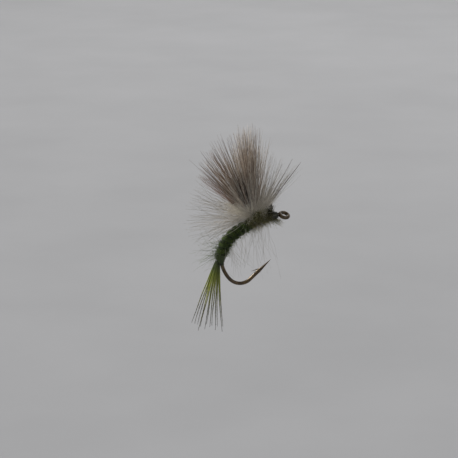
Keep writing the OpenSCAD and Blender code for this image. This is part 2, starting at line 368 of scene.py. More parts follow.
def wound_thread(name, span, radius, thread_r, pitch, steps, sides=6, back=False, seed=3):
    """Thread wound round the wire over span. radius(s, angle) is the distance it lies at, and
    steps is the number of points in each turn."""
    rng = np.random.default_rng(seed)
    turns = int(round((span[1] - span[0]) / pitch))
    u = np.linspace(0, 1, turns * steps + 1)
    s = part_way(span, u)
    s = s + 0.12 * pitch * np.interp(u, np.linspace(0, 1, turns + 1), rng.normal(size=turns + 1))
    angle = 2 * np.pi * turns * u * (-1 if back else 1)
    knots = turns * 2 + 1
    lift = np.interp(u, np.linspace(0, 1, knots), rng.random(knots)) * thread_r * 0.35
    distance = np.array([radius(a, b) for a, b in zip(s, angle)]) + lift
    points, _, _ = round_wire(s, distance, angle)
    return winding_tube(name, points, thread_r, sides)


piece = wound_thread(
    "thread_base_turns", (1.42, 13.9), lambda s, a: WIRE_R + 0.035, THREAD_R, 0.098, 14, sides=5
)
finish(piece, DARK_THREAD, "dark_thread", "thread_base")


# ---------------------------------------------------------------- bodies swept along the wire
def smooth_noise(rng, shape, cell_rows, cell_cols):
    """Smooth noise over a grid that wraps round in its second direction."""
    grid = rng.normal(size=(cell_rows + 2, cell_cols))
    r = np.linspace(0, cell_rows, shape[0])
    c = np.linspace(0, cell_cols, shape[1], endpoint=False)
    r0, c0 = np.floor(r).astype(int), np.floor(c).astype(int)
    fr, fc = (r - r0)[:, None], (c - c0)[None, :]
    fr, fc = fr * fr * (3 - 2 * fr), fc * fc * (3 - 2 * fc)

    def corner(i, j):
        return grid[np.clip(i, 0, cell_rows + 1)][:, j % cell_cols]

    total = corner(r0, c0) * (1 - fr) * (1 - fc) + corner(r0 + 1, c0) * fr * (1 - fc)
    total = total + corner(r0, c0 + 1) * (1 - fr) * fc
    return total + corner(r0 + 1, c0 + 1) * fr * fc


def swept_body(name, span, radius):
    """A closed skin round the wire. radius is a (rows, cols) array of distances."""
    rows, cols = radius.shape
    s, ang = np.linspace(span[0], span[1], rows), around(cols)
    ss, aa = np.meshgrid(s, ang, indexing="ij")
    points, _, _ = round_wire(ss.ravel(), radius.ravel(), aa.ravel())
    j, i = np.meshgrid(np.arange(rows - 1), np.arange(cols), indexing="ij")
    a = j * cols + i
    b = j * cols + (i + 1) % cols
    faces = np.stack([a, a + cols, b + cols, b], -1).reshape(-1, 4).tolist()
    ends, _, _ = wire_frame([span[0], span[1]])
    last_ring, first, last = (rows - 1) * cols, rows * cols, rows * cols + 1
    faces += [[first, i, (i + 1) % cols] for i in range(cols)]
    faces += [[last, last_ring + (i + 1) % cols, last_ring + i] for i in range(cols)]
    turn = np.append(np.tile(ang / (2 * np.pi), rows), [0, 0])
    along = np.append(np.repeat(np.linspace(0, 1, rows), cols), [0, 1])
    return new_object(name, np.vstack([points, ends]), faces, {"round": turn, "along": along})


def skin_radii(radius, span, rows, cols):
    """A (rows, cols) array of radius(s, angle) over a span."""
    return np.array([[radius(s, a) for a in around(cols)] for s in np.linspace(*span, rows)])


def fur_skin(name, light, middle, dark, scale, ribbed=False):
    """Packed fur of fine fibres. On a ribbed rope the grooves are darkened with painted shade, and
    painted light and shade make the bend's outer side lighter and its inner side darker."""
    m, tree, bsdf = material(name)
    strands = noise(tree, scale, 4.0, 0.65, (1.0, 0.35, 1.0))
    clumps = noise(tree, scale * 0.12, 3.0, 0.6)
    colour = ramp(tree, strands, [(0.32, dark), (0.5, middle), (0.7, light)])
    clump_stops = [(0.3, (0.6, 0.62, 0.58)), (0.72, (1.3, 1.3, 1.25))]
    colour = tinted(tree, colour, ramp(tree, clumps, clump_stops))
    if ribbed:
        # Painted shade: the rope's grooves are darkened in the colour, where shade falls between its
        # turns.
        groove_shade_stops = [(0.15, (0.16, 0.18, 0.14)), (0.65, (0.8, 0.8, 0.8)), (1.0, (1.25, 1.25, 1.15))]
        colour = tinted(tree, colour, ramp(tree, attribute(tree, "ridge"), groove_shade_stops))
        # Painted light and shade: the bend's outer side is lightened and its inner side darkened.
        turn = math_node(tree, "MULTIPLY", attribute(tree, "round"), 2 * math.pi)
        outer = math_node(tree, "MULTIPLY_ADD", math_node(tree, "COSINE", turn), 0.5, 0.5)
        side_light_stops = [(0.0, (0.55, 0.58, 0.55)), (0.6, (0.95, 0.95, 0.95)), (1.0, (1.5, 1.45, 1.2))]
        colour = tinted(tree, colour, ramp(tree, outer, side_light_stops))
    tree.links.new(colour, bsdf.inputs["Base Color"])
    bsdf.inputs["Roughness"].default_value = 0.8
    bsdf.inputs["Specular IOR Level"].default_value = 0.2
    bsdf.inputs["Sheen Weight"].default_value = 0.15
    bsdf.inputs["Sheen Roughness"].default_value = 0.5
    bump(tree, bsdf, strands, 0.9, 0.00006)
    return m


# ---------------------------------------------------------------- abdomen
TURNS = 7


def rope_ridge(t, angle, power):
    """Height of the rope's turns, which are wound at a slant: 0 in a groove, 1 on a crest."""
    return np.abs(np.sin(np.pi * (TURNS * t - angle / (2 * np.pi)))) ** power


def abdomen_radius(t, angle):
    """Distance from the wire to the rope of fur: each turn is a small barrel."""
    swell = 0.80 + 0.14 * np.sin(np.pi * np.clip(t, 0, 1)) + 0.05 * np.clip((t - 0.55) / 0.45, 0, 1)
    end = np.clip(np.minimum(t, 1 - t) / 0.05, 0, 1) ** 0.5
    return 1.06 * swell * (0.80 + 0.22 * rope_ridge(t, angle, 0.7)) * (0.72 + 0.28 * end)


rng = np.random.default_rng(11)
shape = (260, 72)
t, ang = np.linspace(0, 1, shape[0])[:, None], around(shape[1])[None, :]
radius = abdomen_radius(t, ang) + 0.018 * smooth_noise(rng, shape, 30, 16)
radius = radius + 0.010 * smooth_noise(rng, shape, 90, 36)
abdomen = swept_body("abdomen_rope", (ABDOMEN[0] - 0.1, ABDOMEN[1] + 0.05), radius)
# The crests' heights, which the rope's material uses to paint shade into the grooves.
crests = np.append(rope_ridge(t, ang, 0.6).ravel(), [1, 1])
layer = abdomen.data.attributes.new("ridge", "FLOAT", "POINT")
layer.data.foreach_set("value", crests.astype(np.float32))
ABDOMEN_SKIN = fur_skin(
    "green_fur_rope", srgb(74, 92, 32), srgb(36, 50, 17), srgb(7, 12, 4), 14000.0, ribbed=True
)
finish(abdomen, ABDOMEN_SKIN, "green_dubbing", "abdomen_dubbing")

# Fine fibres that lie round the rope's turns, so that the surface reads as fur.
n, k = 1700, 7
u = np.linspace(0, 1, k)[None, :]
s_t = rng.random(n)
a0 = rng.random(n) * 2 * np.pi
sweep = u * (0.5 + 0.9 * rng.random(n))[:, None] * rng.choice([-1, 1], n)[:, None]
along_t = s_t[:, None] + sweep / (2 * np.pi * TURNS) + 0.006 * rng.normal(size=(n, 1)) * u
along_t, angles = np.clip(along_t, 0, 1), a0[:, None] + sweep
lift = 0.002 + 0.035 * rng.random(n)[:, None] * u**1.5
rad = abdomen_radius(along_t, angles) + lift
s = ABDOMEN[0] - 0.05 + (ABDOMEN[1] - ABDOMEN[0]) * along_t
points, _, _ = round_wire(s.ravel(), rad.ravel(), angles.ravel())
ABDOMEN_FUR = hair_material(
    "green_fur", shades((0.0, 14, 22, 6), (0.6, 44, 60, 17), (1.0, 96, 110, 40)),
    (0.45, 0.5, 0.45), (1.35, 1.3, 1.2), 0.6,
)
radii = taper(n, k, 0.010, 0.013, 0.004)
piece = fibres("abdomen_rope_fur", points.reshape(n, k, 3), radii, 3, seed=12)
finish(piece, ABDOMEN_FUR, "green_dubbing")

# Stray hairs all round the rope, longer near the tail.
n = 430
s_t = rng.random(n) ** 0.8
ang0 = rng.random(n) * 2 * np.pi
root, normal, along = round_wire(part_way(ABDOMEN, s_t), abdomen_radius(s_t, ang0) - 0.03, ang0)
direction = normal + 0.9 * along * rng.normal(size=(n, 1)) * 0.7 + 0.3 * rng.normal(size=(n, 3))
length = (0.25 + 0.75 * rng.random(n) ** 2.2) * (0.8 + 0.9 * s_t**3)
bend = 0.25 + 0.35 * rng.random(n)
strays = hair_paths(root, direction, length, 10, bend, rng, wave=0.03, waves=1.6)
# Long curly hairs on the bend's outer side, near the tail.
n = 95
s_t = 0.74 + 0.32 * rng.random(n)
ang0 = 0.8 * rng.normal(size=n)
root, normal, along = round_wire(part_way(ABDOMEN, s_t), np.full(n, 0.8), ang0)
direction = normal + 1.1 * along * rng.random((n, 1)) + 0.4 * rng.normal(size=(n, 3))
length = 1.2 + 3.8 * rng.random(n) ** 1.2
bend = 0.6 * rng.normal(size=n)
curls = hair_paths(root, direction, length, 10, bend, rng, wave=0.2, waves=1.6)
# Short fuzz along the bend's inner side.
n = 260
s_t = rng.random(n)
ang0 = np.pi + 0.8 * rng.normal(size=n)
root, normal, along = round_wire(part_way(ABDOMEN, s_t), abdomen_radius(s_t, ang0) - 0.03, ang0)
direction = normal + 0.5 * rng.normal(size=(n, 3))
length = 0.35 + 0.75 * rng.random(n) ** 1.6
bend = 0.5 * rng.normal(size=n)
fuzz = hair_paths(root, direction, length, 10, bend, rng, wave=0.05, waves=1.6)
paths = np.concatenate([strays, curls, fuzz])
ABDOMEN_STRAYS = hair_material(
    "green_strays", shades((0.0, 36, 54, 8), (0.5, 72, 94, 14), (1.0, 106, 122, 34)),
    (0.55, 0.55, 0.5), (1.3, 1.3, 1.15), 0.6,
)
piece = fibres("abdomen_strays", paths, taper(len(paths), 10, 0.012, 0.015, 0.006), 3, seed=13)
finish(piece, ABDOMEN_STRAYS, "green_dubbing", "abdomen_fuzz")

# ---------------------------------------------------------------- thorax
THORAX_R, RISE = 1.17, 0.72


def thorax_radius(t, angle):
    """Distance from the wire to the thorax's skin, a circle that stands above the wire."""
    size = 0.76 + 0.24 * np.sin(np.pi * np.clip(t, 0, 1)) ** 0.7
    size = size * (1.03 - 0.20 * np.clip(1 - t / 0.5, 0, 1))
    rise = RISE * np.cos(angle)
    reach = np.sqrt(np.maximum(THORAX_R**2 - (RISE * np.sin(angle)) ** 2, 0.01))
    return size * (rise + reach) * (1 - 0.1 * np.sin(angle) ** 2)


rng = np.random.default_rng(21)
shape = (120, 72)
t, ang = np.linspace(0, 1, shape[0])[:, None], around(shape[1])[None, :]
radius = thorax_radius(t, ang) * (0.9 + 0.1 * np.clip(np.minimum(t, 1 - t) / 0.08, 0, 1))
radius = radius + 0.05 * smooth_noise(rng, shape, 12, 14) + 0.03 * smooth_noise(rng, shape, 34, 30)
thorax = swept_body("thorax_core", (THORAX[0] - 0.25, THORAX[1] + 0.25), np.maximum(radius, 0.35))
THORAX_SKIN = fur_skin(
    "dark_fur_core", srgb(108, 106, 70), srgb(66, 65, 40), srgb(24, 24, 14), 11000.0
)
finish(thorax, THORAX_SKIN, "dark_dubbing", "thorax_dubbing")

# Matted fur, darker on the flanks than above and below.
n = 3400
s_t = rng.random(n)
ang0 = rng.random(n) * 2 * np.pi
s = THORAX[0] - 0.75 + (THORAX[1] - THORAX[0] + 0.9) * s_t
root, normal, along = round_wire(s, thorax_radius(s_t, ang0) - 0.05, ang0)
lie = along * (0.3 + 0.6 * rng.random((n, 1))) * rng.choice([1, -1], n)[:, None]
direction = 0.6 * normal + lie + 0.7 * rng.normal(size=(n, 3))
length = (0.35 + 0.85 * rng.random(n) ** 1.6) * (0.8 + 0.2 * np.cos(ang0))
shade = 0.12 + 0.62 * np.cos(ang0) ** 2 + 0.26 * rng.random(n)
matted = hair_paths(root, direction, length, 7, 0.55 * rng.random(n), rng, wave=0.07, waves=1.4)
# A scruffy top that runs into the wing's underfur.
n = 420
s_t = rng.random(n)
ang0 = 1.1 * rng.normal(size=n)
s = THORAX[0] - 0.3 + (THORAX[1] - THORAX[0] + 0.6) * s_t
root, normal, along = round_wire(s, thorax_radius(s_t, ang0) - 0.05, ang0)
direction = normal + 0.5 * along * rng.normal(size=(n, 1)) + 0.5 * rng.normal(size=(n, 3))
length = 0.7 + 1.2 * rng.random(n) ** 1.4
scruff = hair_paths(root, direction, length, 7, 0.5 * rng.normal(size=n), rng, wave=0.09, waves=1.5)
paths = np.concatenate([matted, scruff])
shade = np.concatenate([shade, 0.5 + 0.5 * rng.random(n)])
THORAX_FUR = hair_material(
    "dark_fur", shades((0.0, 48, 49, 30), (0.45, 106, 104, 70), (1.0, 166, 160, 124)),
    (0.26, 0.25, 0.23), (1.6, 1.58, 1.42), 0.6,
)
piece = fibres("thorax_fur", paths, taper(len(paths), 7, 0.012, 0.014, 0.004), 3, tone=shade)
finish(piece, THORAX_FUR, "dark_dubbing")

# Strays below the thorax, and a tuft of scruff under the head.
n = 420
s_t = rng.random(n)
ang0 = np.pi + rng.normal(size=n) * 1.1
root, normal, along = round_wire(1.6 + 3.9 * s_t, thorax_radius(s_t, ang0) - 0.05, ang0)
direction = normal - along * (0.2 + 0.7 * rng.random((n, 1))) + 0.35 * rng.normal(size=(n, 3))
length = 0.6 + 1.1 * rng.random(n) ** 2
strays = hair_paths(root, direction, length, 8, 0.3 * rng.random(n), rng, wave=0.05, waves=1.6)
n = 90
s = 0.8 + 0.9 * rng.random(n)
ang0 = np.pi + 0.5 * rng.normal(size=n)
root, normal, along = round_wire(s, np.full(n, 0.5), ang0)
direction = normal - along * (0.3 + 0.9 * rng.random((n, 1))) + 0.25 * rng.normal(size=(n, 3))
length = 0.8 + 1.2 * rng.random(n)
scruff = hair_paths(root, direction, length, 8, 0.4 * rng.normal(size=n), rng, wave=0.05, waves=1.6)
paths = np.concatenate([strays, scruff])
piece = fibres("thorax_strays", paths, taper(len(paths), 8, 0.011, 0.014, 0.005), 3, seed=23)
finish(piece, THORAX_FUR, "dark_dubbing", "thorax_fuzz")

# ---------------------------------------------------------------- wing
foot_point, foot_out, foot_along = [v[0] for v in wire_frame([FOOT_S])]
FOOT = foot_point + foot_out * FOOT_H


def wing_direction(angle, tilt):
    """Direction of a hair, in degrees: its angle up from +X in the hook's plane, and its tilt
    sideways."""
    a, b = np.radians(angle), np.radians(tilt)
    return np.stack([np.cos(a) * np.cos(b), np.sin(b), np.sin(a) * np.cos(b)], -1)


def tufted(rng, count, low, high, tufts, spread, tilt_spread, tuft_tilt):
    """Angles and tilts of hairs that stand in tufts between two angles."""
    centre = np.sort(low + (high - low) * (np.arange(tufts) + rng.random(tufts)) / tufts)
    tilt = tuft_tilt * rng.normal(size=tufts)
    pick = rng.integers(0, tufts, count)
    a = centre[pick] + spread * rng.normal(size=count)
    b = tilt[pick] + tilt_spread * rng.normal(size=count)
    return a, b


def bundles(rng, rows):
    """Angles, tilts and lengths of hairs in bundles. A row is (angle, tilt, spread, hairs,
    shortest, longest)."""
    parts = []
    for angle, tilt, spread, hairs, shortest, longest in rows:
        parts.append(np.stack([
            angle + spread * rng.normal(size=hairs),
            tilt + 1.3 * spread * rng.normal(size=hairs),
            shortest + (longest - shortest) * rng.random(hairs) ** 0.7,
        ], -1))
    return np.concatenate(parts).T


def fan_reach(angle):
    """Length of the longest hair at this angle of the fan."""
    return np.interp(
        angle,
        [45, 54, 61, 68, 75, 80, 85, 91, 99, 106, 112, 121, 129, 136, 142, 150],
        [9.5, 9.8, 9.8, 10.0, 10.7, 12.8, 14.2, 15.0, 14.7, 13.3, 14.4, 13.8, 13.1, 12.2, 10.8, 10.2],
    )


def wing_piece(name, rng, a, b, length, mat, slot, cad, r, bend, wave,
               points=10, tone=None, root_spread=0.34, sides=4, lift=0.0, seed=1):
    """Hairs that fan out from the wing's foot. a and b are their angles and tilts, and r their
    radii for taper. Hairs that lean forward start at the foot's front, and those that lean
    back at its rear."""
    n = len(a)
    d = wing_direction(a, b)
    slide = np.interp(a, [50, 66, 80, 92, 104, 150], [-0.75, -0.5, 0.1, 0.6, 0.75, 0.6])
    scatter = root_spread * unit(rng.normal(size=(n, 3))) * rng.random((n, 1)) ** 0.5
    root = slide[:, None] * foot_along + FOOT + foot_out * (-0.9 + lift) + scatter + 0.35 * d
    paths = hair_paths(root, d, length, points, bend * rng.normal(size=n), rng, wave, waves=1.2)
    piece = fibres(name, paths, taper(n, points, *r, peak=0.35), sides, tone=tone, seed=seed)
    finish(piece, mat, slot, *cad)


GUARD = hair_material(
    "dark_guard_hair",
    shades((0.0, 206, 194, 178), (0.09, 168, 150, 134), (0.18, 108, 88, 76),
           (0.45, 106, 86, 74), (0.72, 126, 109, 96), (1.0, 108, 95, 83)),
    (0.55, 0.52, 0.50), (1.4, 1.36, 1.32), 0.42,
)
CORE = hair_material(
    "dark_core_hair",
    shades((0.0, 160, 142, 126), (0.16, 92, 73, 62), (0.38, 44, 31, 25),
           (0.8, 58, 43, 36), (1.0, 104, 86, 74)),
    (0.6, 0.56, 0.54), (1.3, 1.28, 1.26), 0.42,
)
BEIGE = hair_material(
    "beige_hair",
    shades((0.0, 224, 214, 200), (0.14, 200, 186, 170), (0.35, 164, 144, 128),
           (0.7, 192, 177, 160), (1.0, 200, 187, 172)),
    (0.32, 0.29, 0.27), (1.45, 1.43, 1.41), 0.45,
)
BROWN = hair_material(
    "brown_guard_hair",
    shades((0.0, 204, 192, 178), (0.14, 164, 140, 122), (0.4, 138, 106, 90),
           (0.8, 150, 118, 99), (1.0, 134, 110, 94)),
    (0.6, 0.56, 0.54), (1.4, 1.36, 1.32), 0.42,
)
PALE = hair_material(
    "pale_hair",
    shades((0.0, 226, 221, 211), (0.3, 214, 207, 196), (0.7, 196, 189, 178), (1.0, 154, 147, 136)),
    (0.6, 0.6, 0.6), (1.18, 1.16, 1.14), 0.5,
)
UNDER = hair_material(
    "pale_underfur",
    shades((0.0, 238, 231, 217), (0.4, 243, 238, 227), (1.0, 238, 234, 224)),
    (0.74, 0.71, 0.65), (1.12, 1.11, 1.09), 0.6,
)

# Guard hair: stiff dark hairs in ones to threes over the rear and middle of the fan, and four
# thicker bundles.
rng = np.random.default_rng(31)
rows = []
stand = np.concatenate([np.linspace(88, 107, 20), np.linspace(109, 139, 28)])
for angle in stand + rng.normal(size=len(stand)) * 0.9:
    reach = float(fan_reach(angle))
    rows.append((angle, 9.0 * rng.normal(), 0.6, int(rng.integers(1, 4)), 0.84 * reach, reach))
rows += [
    (113, -3, 1.4, 10, 9.5, 14.0),
    (122, 3, 1.4, 10, 9.0, 13.4),
    (91, -2, 1.2, 12, 9.0, 14.2),
    (98, 3, 1.8, 10, 8.0, 13.8),
]
a, b, length = bundles(rng, rows)
wing_piece("wing_centre", rng, a, b, length, GUARD, "dark_hair", ["wing_centre_hairs"],
           (0.018, 0.027, 0.010), 0.02, 0.012, seed=32)

# Finer beige hair between the guard hairs: a dense middle, the whole fan, and a few in front.
rng = np.random.default_rng(33)
middle, whole, front = 280, 520, 40
a = np.concatenate([
    96 + 5.0 * rng.normal(size=middle),
    112 + 14.0 * rng.normal(size=whole),
    90 - 9.0 * np.abs(rng.normal(size=front)),
])
b = 11.0 * rng.normal(size=len(a))
share = np.concatenate([
    0.5 + 0.5 * rng.random(middle) ** 0.8,
    0.35 + 0.55 * rng.random(whole) ** 1.3,
    0.6 + 0.38 * rng.random(front),
])
keep = (a > 70) & (a < 142)
a, b, length = a[keep], b[keep], (fan_reach(a) * share)[keep]
wing_piece("wing_beige", rng, a, b, length, BEIGE, "brown_hair", [],
           (0.014, 0.021, 0.008), 0.04, 0.03, seed=34)

# The shorter dark hair that fills the core of the fan.
rng = np.random.default_rng(35)
near, far = 260, 150
a = np.concatenate([107 + 5.5 * rng.normal(size=near), 112 + 8.0 * rng.normal(size=far)])
b = np.concatenate([-12 + 6.0 * rng.normal(size=near), -2 + 9.0 * rng.normal(size=far)])
length = np.concatenate([4.2 + 3.8 * rng.random(near), 4.6 + 4.0 * rng.random(far)])
wing_piece("wing_core", rng, a, b, length, CORE, "dark_hair", [],
           (0.014, 0.024, 0.006), 0.03, 0.02, seed=36)

# The rear of the fan: reddish brown, with two thick low bundles and a lone long hair.
rng = np.random.default_rng(41)
rows = [
    (141.4, -4, 0.6, 10, 9.8, 11.0),
    (139.4, 2, 0.5, 7, 9.0, 10.6),
    (136.4, -3, 0.05, 1, 13.6, 13.7),
]
for angle in np.linspace(118, 143, 15) + rng.normal(size=15) * 0.7:
    reach = float(fan_reach(angle))
    hairs = (angle, 8.0 * rng.normal(), 0.9, int(rng.integers(3, 9)), 0.6 * reach, 0.95 * reach)
    rows.append(hairs)
a, b, length = bundles(rng, rows)
wing_piece("wing_rear", rng, a, b, length, BROWN, "brown_hair", ["wing_rear_hairs"],
           (0.018, 0.026, 0.010), 0.02, 0.012, seed=42)

# Pale hair: sparse towards the front, all over the fan, and short on one side of the dark core.
rng = np.random.default_rng(51)
a, b = tufted(rng, 180, 52, 94, 34, 2.2, 5.0, 9.0)
length = fan_reach(a) * (0.45 + 0.53 * rng.random(len(a)) ** 0.8)
whole, side = 150, 190
a = np.concatenate([a, 84 + 50 * rng.random(whole), 86 + 38 * rng.random(side)])
b = np.concatenate([b, 11.0 * rng.normal(size=whole), -12 - 9 * rng.random(side)])
more = [13.0 * (0.45 + 0.5 * rng.random(whole)), 3.4 + 5.0 * rng.random(side)]
length = np.concatenate([length, *more])
wing_piece("wing_front", rng, a, b, length, PALE, "pale_hair", ["wing_front_hairs"],
           (0.013, 0.017, 0.006), 0.08, 0.07, seed=52)

# Single pale hairs that cross the dark core on both sides.
rng = np.random.default_rng(53)
tall, short = 130, 170
a = np.concatenate([86 + 44 * rng.random(tall), 78 + 46 * rng.random(short)])
b = np.concatenate([
    rng.choice([-1, 1], tall) * (9 + 13 * rng.random(tall)),
    rng.choice([-1, 1], short) * (24 + 22 * rng.random(short)),
])
length = np.concatenate([4.5 + 6.0 * rng.random(tall), 1.6 + 2.4 * rng.random(short)])
wing_piece("wing_pale_streaks", rng, a, b, length, UNDER, "pale_hair", [],
           (0.015, 0.021, 0.008), 0.08, 0.06, seed=54)

# A few stiff single hairs that stand clear of the fan in front.
rng = np.random.default_rng(55)
a = np.array([53.0, 54.6, 59.8, 61.0, 57.0, 66.0])
b = np.array([2.0, -2.0, 4.0, 1.0, -5.0, 6.0])
length = np.array([10.2, 9.9, 9.9, 9.0, 8.0, 8.6])
wing_piece("wing_front_strays", rng, a, b, length, GUARD, "dark_hair", [],
           (0.022, 0.034, 0.020), 0.015, 0.01, tone=np.full(len(a), 0.1), root_spread=0.2)

# Pale underfur: short crimped fibres round the wing's foot, in front of it, behind it, and out
# over the thorax's flanks.
rng = np.random.default_rng(61)
foot, ahead, behind, flanks = 900, 900, 1200, 420
a = np.concatenate([
    118 + rng.normal(size=foot) * 40,
    72 + rng.normal(size=ahead) * 15,
    146 + rng.normal(size=behind) * 16,
    100 + rng.normal(size=flanks) * 70,
])
b = np.concatenate([
    rng.normal(size=foot) * 30,
    rng.normal(size=ahead) * 24,
    rng.normal(size=behind) * 26,
    rng.choice([-1, 1], flanks) * (58 + 12 * rng.normal(size=flanks)),
])
length = np.concatenate([
    1.2 + 2.2 * rng.random(foot) ** 1.5,
    1.4 + 3.4 * rng.random(ahead) ** 1.2,
    1.8 + 3.2 * rng.random(behind),
    0.9 + 1.3 * rng.random(flanks),
])
wing_piece("wing_underfur_tufts", rng, a, b, length, UNDER, "pale_underfur", ["wing_underfur"],
           (0.010, 0.012, 0.004), 0.2, 0.09, points=9, root_spread=0.6, sides=3, lift=0.45, seed=62)

# Rear wisps: long, soft and wavy, sweeping back over the abdomen.
rng = np.random.default_rng(71)
a, b = tufted(rng, 210, 150, 212, 20, 3.0, 6.0, 12.0)
length = 10.9 * (0.45 + 0.55 * rng.random(len(a)) ** 0.8)
wing_piece("rear_wisp_hairs", rng, a, b, length, PALE, "pale_hair", ["rear_wisps"],
           (0.013, 0.018, 0.009), 0.16, 0.19, points=16, root_spread=0.5, sides=3, lift=0.1, seed=72)

# Throat wisps: fine hairs that hang below the body, and short tufts close under the thorax.
rng = np.random.default_rng(81)
n = 84
s = 2.2 + 8.6 * rng.random(n)
ang0 = np.pi + rng.normal(size=n) * 0.9
root, normal, along = round_wire(s, np.full(n, 0.7), ang0)
direction = normal + 0.3 * rng.normal(size=(n, 3)) + np.array([-0.15, 0, -0.9])
length = 2.2 + 7.4 * rng.random(n) ** 1.3 * (1.1 - 0.04 * s)
bend = 0.12 * rng.normal(size=n)
wisps = hair_paths(root, direction, length, 14, bend, rng, wave=0.12, waves=1.3)
n = 150
s = 2.0 + 3.6 * rng.random(n)
ang0 = np.pi + rng.normal(size=n) * 0.8
root, normal, along = round_wire(s, np.full(n, 0.75), ang0)
direction = normal + 0.5 * rng.normal(size=(n, 3))
length = 0.5 + 1.1 * rng.random(n) ** 1.5
tufts = hair_paths(root, direction, length, 14, 0.5 * rng.normal(size=n), rng, wave=0.08, waves=1.6)
paths = np.concatenate([wisps, tufts])
n = len(paths)
radii = taper(n, 14, 0.010, 0.013, 0.007)
piece = fibres("throat_wisp_hairs", paths, radii, 3, tone=0.5 * rng.random(n))
finish(piece, PALE, "pale_hair", "throat_wisps")

# The wing's root: the hair bundle gathered above the thorax, and the thread that holds it.
rng = np.random.default_rng(91)
n = 260
reach = np.sqrt(rng.random(n))
turn = rng.random(n) * 2 * np.pi
disc = reach[:, None] * np.stack([np.cos(turn), np.sin(turn)], -1)
flat = disc[:, :1] * foot_along + disc[:, 1:] * SIDE
low = foot_point + foot_out * 0.36 + 0.40 * flat
high = FOOT + foot_out * 0.25 + 0.62 * flat
t = np.linspace(0, 1, 7)[None, :, None]
waist = 0.10 * np.sin(np.pi * t) * flat[:, None, :]
paths = low[:, None, :] * (1 - t) + high[:, None, :] * t - waist
finish(fibres("wing_root", paths, np.full((n, 7), 0.034), seed=92), GUARD, "dark_hair", "wing_stem")

POST_TURNS, POST_STEPS, POST_R = 5, 26, 0.56
u = np.linspace(0, 1, POST_TURNS * POST_STEPS + 1)
angle = 2 * np.pi * POST_TURNS * u
circle = POST_R * (np.cos(angle)[:, None] * foot_along + np.sin(angle)[:, None] * SIDE)
points = foot_point + (0.42 + 0.45 * u)[:, None] * foot_out + circle
piece = winding_tube("wing_root_thread", points, THREAD_R, 6)
finish(piece, DARK_THREAD, "dark_thread", "wing_lashing")

# ---------------------------------------------------------------- cut hair ends before the head
rng = np.random.default_rng(101)
n = 300
s = 1.25 + 0.95 * rng.random(n)
ang0 = rng.normal(size=n) * 0.6
root, normal, along = round_wire(s, np.full(n, 0.3), ang0)
lean = along * (0.22 + 0.12 * rng.normal(size=(n, 1)))
direction = normal - lean + 0.12 * rng.normal(size=(n, 3))
paths = hair_paths(root, direction, 1.2 + 0.75 * rng.random(n), 5, 0.05, rng)
BUTTS = hair_material(
    "cut_hair_ends", shades((0.0, 16, 18, 9), (0.8, 32, 32, 18), (1.0, 52, 52, 30)),
    (0.5, 0.5, 0.5), (1.3, 1.3, 1.2), 0.85,
)
piece = fibres("cut_hair_bundle", paths, np.full((n, 5), 0.022), 5, seed=102)
finish(piece, BUTTS, "dark_hair", "wing_butts")

# ---------------------------------------------------------------- head
HEAD_PITCH = 0.085
HEAD_SPAN, CEMENT_SPAN = (0.45, 1.65), (0.42, 1.5)


def head_radius(s, angle):
    """Distance from the wire to the head's skin, less below the wire."""
    r = float(np.interp(s, [0.3, 0.45, 0.7, 1.0, 1.3, 1.6], [0.40, 0.48, 0.60, 0.66, 0.68, 0.62]))
    return r * (0.93 + 0.07 * math.cos(angle))


def cement_radius(s, angle):
    """Distance from the wire to the cement's skin, which follows the thread's turns."""
    return head_radius(s, angle) + 0.052 + 0.012 * math.cos(2 * math.pi * s / HEAD_PITCH)


piece = wound_thread("head_thread", (0.50, 1.60), head_radius, THREAD_R, HEAD_PITCH, 30, seed=5)
finish(piece, DARK_THREAD, "dark_thread", "head_wraps")
core = skin_radii(lambda s, a: head_radius(s, a) - 0.015, HEAD_SPAN, 60, 48)
finish(swept_body("head_core", HEAD_SPAN, core), DARK_THREAD, "dark_thread")
piece = wound_thread(
    "finish_thread", (0.34, 0.52), lambda s, a: head_radius(s, a) - 0.01, THREAD_R, 0.09, 30,
    back=True, seed=6,
)
finish(piece, DARK_THREAD, "dark_thread", "whip_finish")

rng = np.random.default_rng(111)
film = skin_radii(cement_radius, CEMENT_SPAN, 70, 56)
u = np.linspace(0, 1, len(film))
end = np.clip(np.minimum(u, 1 - u) / 0.10, 0, 1)[:, None] ** 0.5
film = 0.36 + (film - 0.36) * end + 0.008 * smooth_noise(rng, film.shape, 10, 8)
CEMENT, tree, bsdf = material("dark_cement")
tint = ramp(tree, noise(tree, 5000.0, 3.0), shades((0.3, 20, 21, 13), (0.7, 48, 46, 30)))
tree.links.new(tint, bsdf.inputs["Base Color"])
bsdf.inputs["Roughness"].default_value = 0.35
bsdf.inputs["Specular IOR Level"].default_value = 0.25
bsdf.inputs["Coat Weight"].default_value = 0.35
bsdf.inputs["Coat Roughness"].default_value = 0.1
bump(tree, bsdf, noise(tree, 6000.0, 2.0), 0.5, 0.00004)
finish(swept_body("head_cement", CEMENT_SPAN, film), CEMENT, "head_varnish", "head_varnish")

